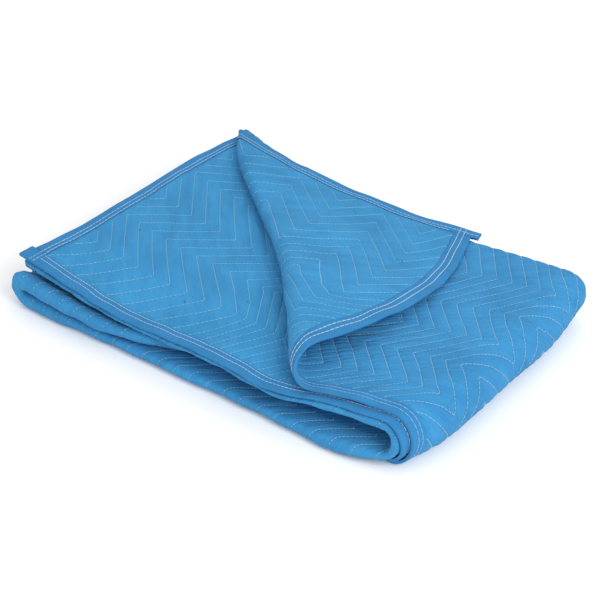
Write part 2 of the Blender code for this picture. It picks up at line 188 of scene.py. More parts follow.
def smooth_table(x, places, values):
    """A smooth curve through a table, flat beyond its ends."""
    slopes = np.gradient(values, places)
    x = np.clip(x, places[0], places[-1])
    i = np.clip(np.searchsorted(places, x, side="right") - 1, 0, len(places) - 2)
    width = places[i + 1] - places[i]
    f = (x - places[i]) / width
    start = (1 + 2 * f) * (1 - f) ** 2 * values[i] + f * (1 - f) ** 2 * width * slopes[i]
    end = f * f * (3 - 2 * f) * values[i + 1] + f * f * (f - 1) * width * slopes[i + 1]
    return start + end


# %% Fold across, into four layers
def front_ends(along):
    """The front ends of the layers, which change once the pack has gone round the right end."""
    edges = smooth_step((along - TOP_END) / CHANGE - 0.2)
    loop = smooth_step((along - TOP_END) / CHANGE - 0.7)
    turned = {"upper": edges, "second": edges, "loop": loop, "loop_radius": loop}
    return {
        name: (1 - turned[name]) * first + turned[name] * FRONT_IN_LOWER_PACKS[name]
        for name, first in FRONT_IN_TOP_PACK.items()
    }


def section_lengths(ends):
    """The lengths of the seven stretches of one section, from the upper bound edge to the second one."""
    nothing = 0 * ends["loop"]
    return [
        BACK - ends["upper"],
        nothing + math.pi * OUTER_RADIUS,
        BACK - ends["loop"],
        math.pi * ends["loop_radius"],
        BACK - ends["loop"],
        nothing + math.pi * INNER_RADIUS,
        BACK - ends["second"],
    ]


stretch_ends = np.concatenate([[0.0], np.cumsum(section_lengths(FRONT_IN_TOP_PACK))])
ACROSS_STARTS = stretch_ends * WIDE / stretch_ends[-1]

LOOP_MIDDLE = (ACROSS_STARTS[3] + ACROSS_STARTS[4]) / 2


def fold_across(along, across):
    """Place across the bundle, and height in the pack, of a point of the open blanket."""
    ends = front_ends(along)
    run = [
        (across - first) / (last - first) * length
        for first, last, length in zip(ACROSS_STARTS, ACROSS_STARTS[1:], section_lengths(ends))
    ]
    angle = [run[1] / OUTER_RADIUS, run[3] / ends["loop_radius"], run[5] / INNER_RADIUS]
    loop_height = INNER_RADIUS + ends["loop_radius"]
    rise = (2 * ends["loop_radius"] - SPACING) * (1 - smooth_step(run[4] / LOOP_RISE))
    places = [
        ends["upper"] + run[0],
        BACK + OUTER_RADIUS * np.sin(angle[0]),
        BACK - run[2],
        ends["loop"] - ends["loop_radius"] * np.sin(angle[1]),
        ends["loop"] + run[4],
        BACK + INNER_RADIUS * np.sin(angle[2]),
        BACK - run[6],
    ]
    heights = [
        3.5 * SPACING + 0 * along,
        2 * SPACING + OUTER_RADIUS * np.cos(angle[0]),
        0.5 * SPACING + 0 * along,
        loop_height - ends["loop_radius"] * np.cos(angle[1]),
        1.5 * SPACING + rise,
        2 * SPACING - INNER_RADIUS * np.cos(angle[2]),
        2.5 * SPACING + 0 * along,
    ]
    stretch = sum((across >= start).astype(int) for start in ACROSS_STARTS[1:-1])
    return np.choose(stretch, places), np.choose(stretch, heights), stretch


print("layers and bends start across at", ACROSS_STARTS.round(3))


# %% Fold along, into three packs
def fold_along(along, height):
    """Place along the bundle, and height over the floor, of a point of the pack."""
    right_angle = (along - TOP_END) / RIGHT_RADIUS
    left_angle = (along - BOTTOM_END) / LEFT_RADIUS
    right = 2 * SPACING + PACK_GAP + height
    left = PACK_GAP / 2 + height
    places = [
        along,
        PANEL + right * np.sin(right_angle),
        PANEL - (along - RIGHT_END_OF_BEND),
        -left * np.sin(left_angle),
        along - LEFT_END_OF_BEND,
    ]
    heights = [
        TOP_PACK + height,
        6 * SPACING + PACK_GAP + right * np.cos(right_angle),
        4 * SPACING - height,
        4 * SPACING + PACK_GAP / 2 - left * np.cos(left_angle),
        4 * SPACING + PACK_GAP + height,
    ]
    bends = (TOP_END, RIGHT_END_OF_BEND, BOTTOM_END, LEFT_END_OF_BEND)
    pack = sum((along >= bend).astype(int) for bend in bends)
    return np.choose(pack, places), np.choose(pack, heights), pack


# %% Turn back the corner of the top layer
turn_line = np.subtract(TURN_FRONT, TURN_BACK)
TURN_LENGTH = float(np.hypot(*turn_line))
TURN_ALONG = turn_line / TURN_LENGTH
TURN_AWAY = np.array([-TURN_ALONG[1], TURN_ALONG[0]])


def past_turn(u, v):
    """How far a place in the top pack lies beyond the fold line, away from the turned corner."""
    return (u - TURN_BACK[0]) * TURN_AWAY[0] + (v - TURN_BACK[1]) * TURN_AWAY[1]


def turn_corner(u, v):
    """Where the turned corner carries a point of the top layer, and its height over that layer."""
    side = past_turn(u, v)
    share = ((u - TURN_BACK[0]) * TURN_ALONG[0] + (v - TURN_BACK[1]) * TURN_ALONG[1]) / TURN_LENGTH
    radius = TURN_RADIUS_BACK + (TURN_RADIUS_FRONT - TURN_RADIUS_BACK) * np.clip(share, 0, 1.05)
    past = radius - side
    angle = np.clip(past / radius, 0, math.pi)
    beyond = np.maximum(past - math.pi * radius, 0)
    new_side = np.where(past > 0, radius - radius * np.sin(angle) + TURN_STRETCH * beyond, side)
    new_share = share * TURN_LENGTH + TURN_SHEAR * beyond
    lifted = SPACING + (2 * radius - SPACING) * np.exp(-((beyond / TURN_FALL) ** 2))
    height = np.where(beyond > 0, lifted, radius * (1 - np.cos(angle)))
    turned = smooth_step(beyond / 0.05)
    edge_run = np.clip(u / TURN_FRONT[0], 0, 1)
    end_run = np.clip(v / TURN_BACK[1], 0, 1)
    bulge = FLAP_SIDE_BULGE * np.sin(math.pi * edge_run) * (1 - end_run) ** 2 * turned
    sag = FLAP_BACK_SAG * np.sin(math.pi * end_run) * (1 - edge_run) ** 2 * turned
    bow = TURN_BOW * np.sin(math.pi * np.clip(share, 0, 1)) ** 2
    bow = bow * np.exp(-((new_side / TURN_BOW_REACH) ** 2))
    bow = bow * smooth_step((BACK - v) / 0.12) * smooth_step((TOP_END - u) / 0.12)
    new_side = new_side + bow
    new_u = TURN_BACK[0] + new_share * TURN_ALONG[0] + new_side * TURN_AWAY[0] + bulge
    new_v = TURN_BACK[1] + new_share * TURN_ALONG[1] + new_side * TURN_AWAY[1] - sag
    return new_u, new_v, np.where(past > 0, height, 0.0)


# %% The neat bundle, and how it settles
def folded(along, across):
    """The middle of the sheet in the neat bundle."""
    place, height, stretch = fold_across(along, across)
    u, h, pack = fold_along(along, height)
    setback = MIDDLE_SETBACK * (1 - place / BACK) * smooth_step((u - 0.15) / 0.30)
    place = np.where(pack == 4, place + setback, place)
    new_u, new_v, lift = turn_corner(u, place)
    corner = (stretch == 0) & (pack == 0)
    return np.stack(
        [
            np.where(corner, new_u, u),
            np.where(corner, new_v, place),
            np.where(corner, h + lift, h) - FLOOR_LIFT,
        ],
        axis=-1,
    )


def settled(points):
    """The neat bundle's points, moved to where the real bundle's edges and heights are."""
    u, v, h = points[..., 0], points[..., 1], points[..., 2]
    sections, right, left = np.array(SECTIONS), np.array(RIGHT_END), np.array(LEFT_END)
    low, top, back, front_z, inside_z, back_z = (
        smooth_table(u, sections[:, 0], sections[:, column]) for column in range(1, 7)
    )
    level = np.clip(h / BUNDLE_HEIGHT, 0, 1)
    front = low + (top - low) * level
    share = v / BACK
    right_low, right_top = (smooth_table(v, right[:, 0], right[:, column]) for column in (1, 2))
    left_low, left_top = (smooth_table(v, left[:, 0], left[:, column]) for column in (1, 2))
    end_shift = (right_low + (right_top - right_low) * level) * smooth_step(u / PANEL)
    end_shift = end_shift + (left_low + (left_top - left_low) * level) * (1 - smooth_step(u / LEFT_REACH))
    inward = smooth_step(v / INSIDE_PLACE)
    backward = smooth_step((v - INSIDE_PLACE) / (BACK - INSIDE_PLACE))
    scale = front_z + (inside_z - front_z) * inward + (back_z - inside_z) * backward
    return np.stack(
        [u + end_shift - MIDDLE[0], v + (1 - share) * front + share * back - MIDDLE[1], h * scale],
        axis=-1,
    )


# %% [markdown]
# ## Small waves
#
# Cloth that has been handled is never flat between its seams. Long waves lift the free layers by
# about a millimetre, and the bound edges ripple where sewing has drawn them up. They are sums of a few
# sine waves with fixed seeds, so that every run gives the same cloth.

# %% Uneven waves
SECOND_EDGE_WAVE = 0.0010
UPPER_EDGE_WAVE = 0.0004
EDGE_WAVE_REACH = 0.05
EDGE_REACH = 0.035
FRONT_WAVE = 0.0011
FRONT_WAVE_REACH = 0.022


def rumple(x, y, size, seed, lean=0.0, stretch=1.0, count=14):
    """Uneven smooth waves of about -1 to 1. size is their length, and stretch draws them out along lean."""
    random = np.random.default_rng(seed)
    along = (x * math.cos(lean) + y * math.sin(lean)) / stretch
    beside = -x * math.sin(lean) + y * math.cos(lean)
    total = 0 * x
    for _ in range(count):
        direction = random.uniform(0, 2 * math.pi)
        length = size * random.uniform(0.7, 1.6)
        phase = random.uniform(0, 2 * math.pi)
        run = along * math.cos(direction) + beside * math.sin(direction)
        total = total + np.sin(2 * math.pi * run / length + phase)
    return np.clip(total / math.sqrt(count / 2) / 1.6, -1, 1)


def layer_place(across):
    """Place across the bundle of a point in the top pack's upper layer or in its lower bound one."""
    upper = FRONT_IN_TOP_PACK["upper"] + across
    second = BACK - (across - ACROSS_STARTS[6])
    return np.where(across < ACROSS_STARTS[1], upper, second)


def shows_from_above(along, across):
    """How much a place belongs to the layers that lie open on top: the upper one, 1, or the second, -1."""
    v = layer_place(across)
    side = past_turn(along, v)
    inner = smooth_step((TOP_END - along) / 0.06)
    upper = (across < ACROSS_STARTS[1]) * smooth_step((ACROSS_STARTS[1] - across) / 0.05)
    second = (across > ACROSS_STARTS[6]) * smooth_step((across - ACROSS_STARTS[6]) / 0.05)
    return upper * inner, second * inner * (1 - smooth_step((side + 0.02) / 0.06))


def drape(along, across):
    """How far the sheet's middle is moved, towards its outer face, by its small waves."""
    upper, second = shows_from_above(along, across)
    long_waves = rumple(along, across, 0.11, 3)
    ripples = rumple(along, across, 0.055, 8)
    near_side = np.exp(-(np.minimum(across, WIDE - across) / EDGE_REACH) ** 2)
    near_end = np.exp(-((along / EDGE_REACH) ** 2))
    edge = np.maximum(near_side, near_end)
    lift = 0.0006 + 0.0007 * long_waves + edge * (0.0008 + 0.0011 * ripples)
    front_fold = np.exp(-(((across - LOOP_MIDDLE) / FRONT_WAVE_REACH) ** 2))
    return upper * lift - second * lift + FRONT_WAVE * front_fold * rumple(along, across, 0.055, 12)


def edge_waves(along, across):
    """How far the bound edges stray sideways from a straight line, across the blanket and along it."""
    second = np.exp(-(((WIDE - across) / EDGE_WAVE_REACH) ** 2)) * SECOND_EDGE_WAVE * rumple(along, 0, 0.06, 5, count=5)
    upper = np.exp(-((across / EDGE_WAVE_REACH) ** 2)) * UPPER_EDGE_WAVE * rumple(along, 0, 0.07, 6, count=5)
    start = np.exp(-((along / EDGE_WAVE_REACH) ** 2)) * UPPER_EDGE_WAVE * rumple(0, across, 0.07, 7, count=5)
    return second + upper, start


def carried(flat):
    """Flat points, as rows of along, across and offset, carried through the folds."""
    along, across, offset = flat.T
    by_wave, along_wave = edge_waves(along, across)
    along, across = along + along_wave, across + by_wave
    step = 1e-4
    middle = folded(along, across)
    by_along = folded(along + step, across) - folded(along - step, across)
    by_across = folded(along, across + step) - folded(along, across - step)
    normal = np.cross(by_along, by_across)
    normal /= np.linalg.norm(normal, axis=1)[:, None]
    return settled(middle + normal * (offset + drape(along, across))[:, None])


# %% [markdown]
# ## Quilting
#
# Rows of zigzag stitches hold the two skins and the filling together. Each row draws both skins in to a
# narrow valley, and between the rows the filling swells. The relief is worked out from how far a place is
# from its two nearest rows, so the valleys are sharp and the swellings round.
#
# On the real blanket the rows are not evenly spaced: feeding and use have pulled them wider apart on the
# turned corner and closer at the right. Short tables say how far the pattern has drifted there.

# %% How the real quilting drifts from a neat pattern
UPPER_DRIFT = (
    # along, drift along, share of the drift across
    (0.000, 0.000, 1.00),
    (0.080, -0.018, 1.00),
    (0.190, -0.045, 1.00),
    (0.300, -0.066, 1.00),
    (0.330, -0.066, 1.00),
    (0.430, -0.009, 1.00),
    (0.525, -0.007, 1.00),
    (0.615, 0.026, 0.60),
    (0.675, 0.058, 0.34),
    (0.750, 0.061, 0.00),
)
SECOND_DRIFT = (
    # along, drift along
    (0.000, 0.000),
    (0.067, -0.006),
    (0.149, -0.012),
    (0.300, -0.026),
    (0.340, -0.024),
    (0.500, 0.090),
    (0.600, 0.0915),
)
ACROSS_DRIFT_UPPER = (
    # across, drift across
    (0.028, 0.0000),
    (0.063, 0.0130),
    (0.125, 0.0280),
    (0.190, 0.0375),
    (0.260, 0.0435),
    (0.360, 0.0240),
    (0.436, 0.0000),
)
ACROSS_DRIFT_ELSEWHERE = (
    # across, drift across
    (0.800, 0.0000),
    (0.918, 0.0350),
    (1.030, 0.0000),
    (1.384, 0.0000),
    (1.511, 0.0120),
    (1.600, 0.0060),
    (1.664, 0.0125),
    (1.736, 0.0160),
    (1.802, 0.0000),
)


def read_table(table, x, column=1):
    values = np.array(table)
    return np.interp(x, values[:, 0], values[:, column])


def drift_across(along, across):
    upper = read_table(UPPER_DRIFT, along, 2) * read_table(ACROSS_DRIFT_UPPER, across)
    return upper + read_table(ACROSS_DRIFT_ELSEWHERE, across)


def drift_along(along, across):
    upper = read_table(UPPER_DRIFT, along) * (1 - smooth_step((across - 0.44) / 0.30))
    return upper + read_table(SECOND_DRIFT, along) * smooth_step((across - 1.08) / 0.30)


def neat_place(along, across):
    """The place in the neat pattern that has drifted to a place on the flat blanket."""
    return along + drift_along(along, across), across + drift_across(along, across)


def drifted_place(neat_along, neat_across):
    """The place on the flat blanket to which a place in the neat pattern has drifted."""
    along, across = neat_along + 0.0, neat_across + 0.0
    for _ in range(30):
        along, across = neat_along - drift_along(along, across), neat_across - drift_across(along, across)
    return along, across


# %% Thickness of the sheet
STITCH_SINK = 0.0013
SWELL_RISE = 0.0004
PUCKER = 0.00032
LOOP_PUFF = 0.35
LOOP_PUFF_REACH = 0.035


def zigzag(across):
    """How far a stitch row has wandered along the blanket at a place across it."""
    run = across / HALF_ZIGZAG
    return HALF_ZIGZAG * np.abs(run - 2 * np.round(run / 2))


def edge_distance(along, across):
    return np.minimum(np.minimum(along, LONG - along), np.minimum(across, WIDE - across))


def fullness(across):
    """How much the filling swells: less round the front folds, where the cloth is drawn tight."""
    return 1 - (1 - LOOP_PUFF) * np.exp(-(((across - LOOP_MIDDLE) / LOOP_PUFF_REACH) ** 4))


def half_thickness(along, across, side):
    """From the sheet's middle to one of its faces: side is 1 for the outer face, -1 for the inner one."""
    swell = smooth_step((edge_distance(along, across) - PRESSED_WIDTH) / (SWELL_WIDTH - PRESSED_WIDTH))
    neat_along, neat_across = neat_place(along, across)
    row = (neat_along - zigzag(neat_across)) / ROW_PITCH
    part = row - np.floor(row + 1e-7)
    round_top = np.sqrt(np.clip(1 - (2 * part - 1) ** 2, 0, 1))
    puff = (-STITCH_SINK + (STITCH_SINK + SWELL_RISE) * round_top) * fullness(across)
    pucker = PUCKER * rumple(along, across, 0.011, 21, math.radians(40), 5.0, 20) * round_top
    return PRESSED_HALF + (HALF_PLY - PRESSED_HALF + puff + pucker * np.where(side > 0, 1.0, 0.5)) * swell


# %% [markdown]
# ## The quilted sheet
#
# The sheet is one closed mesh: an outer skin, an inner skin and a narrow rim. Its grid follows the
# zigzag rows, so that every valley lies on a line of vertices. Rows that would run into the binding stop
# at its edge. The grid is made of blocks, and a block is cut finely only where its skin shows. Faces along
# the border of a fine block and a coarse one take the fine one's vertices too, so the mesh has no cracks.

# %% Lines of the grid
FINE = 8
ENDS = (0, PRESSED_WIDTH, SWELL_WIDTH, LONG - SWELL_WIDTH, LONG - PRESSED_WIDTH, LONG)
SIDES = (0, PRESSED_WIDTH, SWELL_WIDTH, WIDE - SWELL_WIDTH, WIDE - PRESSED_WIDTH, WIDE)
FIRST_ROW = -1
LAST_ROW = int(LONG / ROW_PITCH)
FIRST_STOPS = 5
LAST_STOPS = 6


def row_knots():
    """The lines across the blanket, as (fixed place or None, number of the stitch row)."""
    rows = [(None, number) for number in range(FIRST_ROW, LAST_ROW + 1)]
    return [(place, 0) for place in ENDS[:3]] + rows + [(place, 0) for place in ENDS[3:]]


def column_knots():
    """The lines along the blanket, as (is it fixed, its place, or its place in the neat pattern)."""
    bends = []
    for start, end in zip(ACROSS_STARTS[1:-1:2], ACROSS_STARTS[2:-1:2]):
        bends += [start, (start + end) / 2, end]
    bends += [ACROSS_STARTS[3] - LOOP_RISE, ACROSS_STARTS[4] + LOOP_RISE]
    fixed = np.array(list(SIDES) + bends)
    halves = HALF_ZIGZAG / 2 * np.arange(1, 48)
    _, places = drifted_place(np.full(len(halves), 0.3), halves)
    clear = np.abs(places[:, None] - fixed).min(axis=1) > 0.006
    knots = [(place, True, place) for place in fixed]
    knots += [(place, False, half) for place, half in zip(places[clear], halves[clear])]
    return [knot[1:] for knot in sorted(knots)]


rows = row_knots()
columns = column_knots()
print("blocks:", len(rows) - 1, "by", len(columns) - 1)


# %% Place of a grid point on the flat blanket
def line_across(knots, along, across):
    """A better guess of where lines along the blanket pass a place along it."""
    fixed, target = knots
    return np.where(fixed, target, target - drift_across(along, across))


def line_along(knots, along, across):
    """A better guess of where lines across the blanket pass a place across it."""
    fixed, target = knots
    _, neat_across = neat_place(along, across)
    swayed = target + zigzag(neat_across) - drift_along(along, across)
    return np.where(fixed, target, np.clip(swayed, SWELL_WIDTH, LONG - SWELL_WIDTH))


def block_share(index, count):
    """The block of a fine line, and its share of the way through it, closer together near the ends."""
    block = np.minimum(index // FINE, count - 2)
    share = (index - block * FINE) / FINE
    return block, share, 0.6 * share + 0.4 * (1 - np.cos(math.pi * share)) / 2


def flat_place(row_index, column_index):
    """Along and across the blanket of grid points, numbered in eighths of a block."""
    row_fixed = np.array([place is not None for place, _ in rows])
    row_target = np.array([number * ROW_PITCH if place is None else place for place, number in rows])
    column_fixed = np.array([fixed for fixed, _ in columns])
    column_target = np.array([place for _, place in columns])
    row, _, row_share = block_share(row_index, len(rows))
    column, column_share, _ = block_share(column_index, len(columns))
    low, high = (row_fixed[row], row_target[row]), (row_fixed[row + 1], row_target[row + 1])
    left = column_fixed[column], column_target[column]
    right = column_fixed[column + 1], column_target[column + 1]
    low_along, high_along, along = low[1] + 0.0, high[1] + 0.0, low[1] + 0.0
    left_across, right_across = left[1] + 0.0, right[1] + 0.0
    for _ in range(30):
        left_across = line_across(left, along, left_across)
        right_across = line_across(right, along, right_across)
        across = left_across + (right_across - left_across) * column_share
        low_along = line_along(low, low_along, across)
        high_along = line_along(high, high_along, across)
        along = low_along + (high_along - low_along) * row_share
    return along, across


# %% How finely a block is cut
def near(value, places, reach):
    return min(abs(value - place) for place in places) < reach


def block_cuts(along, across, side, may_stop):
    """Cuts along and across a block, by what shows of its skin. may_stop: its rows may end in it."""
    cuts_along, cuts_across = cuts_by_place(along, across, side)
    if may_stop:
        return cuts_along if skin_shows(along, across, side) else 1, 8
    return cuts_along, cuts_across


def skin_shows(along, across, side):
    """Whether a block of one skin lies open to view in the top pack, or is the turned corner's underside."""
    turn_side = past_turn(along, float(layer_place(across)))
    in_upper = across < ACROSS_STARTS[2]
    in_second = across > ACROSS_STARTS[6]
    if side > 0:
        return in_upper and along < RIGHT_END_OF_BEND and turn_side > -0.08
    return along < TOP_END and (in_upper and turn_side < 0.06 or in_second and turn_side < 0.07)


def cuts_by_place(along, across, side):
    at_left_bend = BOTTOM_END - 0.05 < along < LEFT_END_OF_BEND + 0.05
    at_right_bend = TOP_END - 0.05 < along < RIGHT_END_OF_BEND + 0.05
    at_turn = across < ACROSS_STARTS[1] and abs(past_turn(along, float(layer_place(across)))) < 0.06
    if edge_distance(along, across) < PRESSED_WIDTH:
        return (8, 2) if at_turn or at_left_bend or at_right_bend else (4, 2)
    if skin_shows(along, across, side):
        return (8, 8) if at_turn and along < TOP_END else (8, 4)
    outside = side > 0 and across < ACROSS_STARTS[2]
    at_bend = at_left_bend or at_right_bend
    cuts_along = 8 if at_bend and outside else 4 if at_bend or outside else 1
    if ACROSS_STARTS[3] < across < ACROSS_STARTS[4]:
        return max(cuts_along, 4), 8 if side > 0 else 4
    bends = (*ACROSS_STARTS[1:3], *ACROSS_STARTS[5:7])
    if near(across, ACROSS_STARTS[3:5], LOOP_RISE) or near(across, bends, 0.008):
        return max(cuts_along, 4), 4
    return max(cuts_along, 4) if near(across, (0, WIDE), 0.05) else cuts_along, 2


def cut_table(side):
    """The cuts of every block of one skin."""
    row_count, column_count = len(rows) - 1, len(columns) - 1
    row, column = np.meshgrid(np.arange(row_count), np.arange(column_count), indexing="ij")
    along, across = flat_place(row * FINE + FINE // 2, column * FINE + FINE // 2)
    bound = len(ENDS) // 2 - 1
    may_stop = [
        bound <= i < FIRST_STOPS or row_count - LAST_STOPS <= i < row_count - bound
        for i in range(row_count)
    ]
    return [
        [block_cuts(along[i, j], across[i, j], side, may_stop[i]) for j in range(column_count)]
        for i in range(row_count)
    ]


# %% Build one skin of the sheet
def skin_faces(cuts):
    """The faces of one skin, as lists of (row, column) numbers in eighths of a block."""
    faces = []
    last_row, last_column = len(cuts) - 1, len(cuts[0]) - 1
    for i, line in enumerate(cuts):
        for j, (by_row, by_column) in enumerate(line):
            row_step, column_step = FINE // by_row, FINE // by_column
            low = FINE // max(by_column, cuts[i - 1][j][1] if i else 0)
            high = FINE // max(by_column, cuts[i + 1][j][1] if i < last_row else 0)
            left = FINE // max(by_row, cuts[i][j - 1][0] if j else 0)
            right = FINE // max(by_row, cuts[i][j + 1][0] if j < last_column else 0)
            top_row, top_column = (i + 1) * FINE, (j + 1) * FINE
            for r in range(i * FINE, top_row, row_step):
                for c in range(j * FINE, top_column, column_step):
                    r2, c2 = r + row_step, c + column_step
                    by_low = low if r == i * FINE else column_step
                    by_right = right if c2 == top_column else row_step
                    by_high = high if r2 == top_row else column_step
                    by_left = left if c == j * FINE else row_step
                    face = [(r, x) for x in range(c, c2, by_low)]
                    face += [(x, c2) for x in range(r, r2, by_right)]
                    face += [(r2, x) for x in range(c2, c, -by_high)]
                    face += [(x, c) for x in range(r2, r, -by_left)]
                    faces.append(face)
    return faces


# %% Build the sheet
def rim_points():
    """The grid points round the sheet's edge, in order."""
    top, end = (len(rows) - 1) * FINE, (len(columns) - 1) * FINE
    line = [(0, c) for c in range(0, end)] + [(r, end) for r in range(0, top)]
    return line + [(top, c) for c in range(end, 0, -1)] + [(r, 0) for r in range(top, 0, -1)]


def sheet_mesh():
    """The whole sheet: both skins, and the rim between them. Material 0 is outer, 1 inner."""
    skins, keys = {}, set()
    for side in (1, -1):
        skins[side] = skin_faces(cut_table(side))
        keys.update((*point, side) for face in skins[side] for point in face)
    order = sorted(keys)
    table = np.array(order)
    along, across = flat_place(table[:, 0], table[:, 1])
    merged, numbers, kept = {}, {}, []
    for index, (key, a, c) in enumerate(zip(order, along, across)):
        place = (round(a, 5), round(c, 5), key[2])
        if place not in merged:
            merged[place] = len(kept)
            kept.append(index)
        numbers[key] = merged[place]
    faces, materials = [], []
    for side in (1, -1):
        for face in skins[side]:
            corners = list(dict.fromkeys(numbers[(*point, side)] for point in face))
            if len(corners) > 2:
                faces.append(corners[::-1] if side > 0 else corners)
                materials.append(0 if side > 0 else 1)
    ring = rim_points()
    shared = [i for i, point in enumerate(ring) if (*point, 1) in numbers and (*point, -1) in numbers]
    for first, last in zip(shared, shared[1:] + [len(ring) + shared[0]]):
        span = [ring[i % len(ring)] for i in range(first, last + 1)]
        upper, lower = ([numbers[(*p, side)] for p in span if (*p, side) in numbers] for side in (1, -1))
        corners = list(dict.fromkeys(upper + lower[::-1]))
        if len(corners) > 2:
            faces.append(corners)
            materials.append(0)
    along, across, side = along[kept], across[kept], table[kept, 2]
    flat = np.stack([along, across, side * half_thickness(along, across, side)], axis=1)
    return flat, faces, materials


sheet_flat, sheet_faces, sheet_materials = sheet_mesh()
print("sheet:", len(sheet_flat), "points,", len(sheet_faces), "faces")


# %% Turn flat points and faces into an object
def make_piece(name, flat, faces, materials=None):
    """A smooth mesh object made from flat points carried through the folds and pressed on the floor."""
    mesh = bpy.data.meshes.new(name)
    points = carried(flat)
    points[:, 2] = np.maximum(points[:, 2], 0)
    mesh.from_pydata([tuple(point) for point in points], [], faces)
    if materials is not None:
        mesh.polygons.foreach_set("material_index", materials)
    kept = mesh.attributes.new("flat_place", "FLOAT_VECTOR", "POINT")
    kept.data.foreach_set("vector", flat.astype(np.float32).ravel())
    mesh.shade_smooth()
    piece = bpy.data.objects.new(name, mesh)
    scene.collection.objects.link(piece)
    return piece


blanket = make_piece("quilted_cloth", sheet_flat, sheet_faces, sheet_materials)
print("quilted cloth:", sum(len(face) - 2 for face in sheet_faces), "triangles")

# %% [markdown]
# ## Binding strips
#
# Each edge is bound with a strip folded over it, 22 mm wide on both faces. Two rows of stitches hold it,
# and draw it in a little. The strip is a channel: its section is drawn once and swept along the edge.

# %% Section of a binding strip
STITCH_LINES = (0.0195, 0.0120)
UPPER_STITCH_LINES = (0.0165, 0.0095)
STITCH_DIP = 0.00025


def binding_section(lines):
    """The channel's section, as (place inward from the edge, offset), round its outside and back inside."""
    inner = PRESSED_HALF + CLEARANCE
    outer = inner + BINDING_WALL
    lip, crease = BINDING_WIDTH, -CLEARANCE
    groups = ((0.0212,), (lines[0] + 0.0015, lines[0], lines[0] - 0.0015), (sum(lines) / 2,))
    groups += ((lines[1] + 0.0015, lines[1], lines[1] - 0.0015), (0.0050, 0.0015))
    stations = [place for group in groups for place in group]
    top = [(lip, inner + 0.5 * BINDING_WALL)]
    for place in stations:
        dip = STITCH_DIP * max(0.0, 1 - min(abs(place - line) for line in lines) / 0.0015)
        top.append((place, outer - dip))
    turn = []
    for i in range(1, 8):
        angle = math.pi * i / 8
        turn.append((crease - BINDING_WALL * math.sin(angle) + 0.0004, outer * math.cos(angle)))
    bottom = [(place, -offset) for place, offset in reversed(top)]
    inside = [(lip, -inner), (0.5 * lip, -inner), (crease + 0.0003, -inner)]
    return top + turn + bottom + inside + [(place, -offset) for place, offset in reversed(inside)]


# %% Sweep the section along an edge
def binding_flat(axis, edge, inward, start, end, spacing, lines):
    """Flat points and faces of one strip. axis is 0 for a strip that runs along, 1 for one across."""
    section = binding_section(lines)
    stops = sweep_stops(start, end, spacing)
    flat = []
    for stop in stops:
        for place, offset in section:
            beside = edge + inward * place
            flat.append((stop, beside, offset) if axis == 0 else (beside, stop, offset))
    count = len(section)
    faces = []
    for i in range(len(stops) - 1):
        for j in range(count):
            k = (j + 1) % count
            faces.append([i * count + j, i * count + k, (i + 1) * count + k, (i + 1) * count + j])
    faces.append(list(range(count))[::-1])
    faces.append([(len(stops) - 1) * count + j for j in range(count)])
    return np.array(flat), faces


def sweep_stops(start, end, spacing):
    count = max(2, round((end - start) / spacing))
    return start + (end - start) * np.arange(count + 1) / count


# %% Build the four strips
def binding(name, axis, edge, inward, start, end, lines=STITCH_LINES):
    flat, faces = binding_flat(axis, edge, inward, start, end, 0.005, lines)
    if (axis == 0) == (inward > 0):
        faces = [face[::-1] for face in faces]
    piece = make_piece(name, flat, faces)
    print(name, sum(len(face) - 2 for face in faces), "triangles")
    return piece


SHELL = CLEARANCE + BINDING_WALL
bindings = {
    "binding_second_edge": binding("second_edge_strip", 0, WIDE, -1, -LEFT_TAIL, LONG - PRESSED_WIDTH),
    "binding_start_end": binding("start_end_strip", 1, 0, 1, -TAIL, WIDE - PRESSED_WIDTH),
    "binding_upper_edge": binding("upper_edge_strip", 0, 0, 1, PRESSED_WIDTH, LONG + SHELL, UPPER_STITCH_LINES),
    "binding_finish_end": binding("finish_end_strip", 1, LONG, -1, PRESSED_WIDTH, WIDE + SHELL),
}

# %% [markdown]
# ## Thread
#
# Stitches are short lengths of thread that dive into the cloth at both ends. Each is a small spindle. A
# painted dashed line would look right from afar, but a spindle catches light and keeps its shape close
# up. Only stitches that can be seen are made.

# %% One stitch
def spindles(starts, ends, offsets, width, height, side):
    """Flat points and faces of stitches that run straight from start to end on the flat blanket."""
    run = ends - starts
    length = np.linalg.norm(run, axis=1)
    run = run / length[:, None]
    beside = np.stack([-run[:, 1], run[:, 0]], axis=1) * width / 2
    points = []
    for share, rise in ((0.0, -0.2), (1.0, -0.2)):
        place = starts + (ends - starts) * share
        points.append(np.column_stack([place, side * (offsets + rise * height)]))
    for share in (0.12, 0.88):
        place = starts + (ends - starts) * share
        for across, rise in ((1, 0.0), (0, 1.0), (-1, 0.0), (0, -0.6)):
            points.append(np.column_stack([place + beside * across, side * (offsets + rise * height)]))
    flat = np.stack(points, axis=1).reshape(-1, 3)
    pattern = []
    for j in range(4):
        k = (j + 1) % 4
        pattern += [(0, 2 + k, 2 + j), (2 + j, 2 + k, 6 + k, 6 + j), (1, 6 + j, 6 + k)]
    faces = []
    for i in range(len(starts)):
        for face in pattern:
            numbers = [i * 10 + corner for corner in face]
            faces.append(numbers if side < 0 else numbers[::-1])
    return flat, faces


# %% Lay stitches along a straight run
def stitch_run(start, end, length, gap):
    """Starts and ends of the stitches along one straight run on the flat blanket."""
    start, end = np.array(start, float), np.array(end, float)
    whole = float(np.linalg.norm(end - start))
    count = max(1, round(whole / length))
    shares = np.arange(count) / count
    first = start + (end - start) * (shares + gap / 2 / whole)[:, None]
    last = start + (end - start) * (shares + 1 / count - gap / 2 / whole)[:, None]
    return first, last


# %% Which quilting stitches show
QUILT_STITCH = 0.0055
QUILT_GAP = 0.0006
QUILT_THREAD = 0.0010


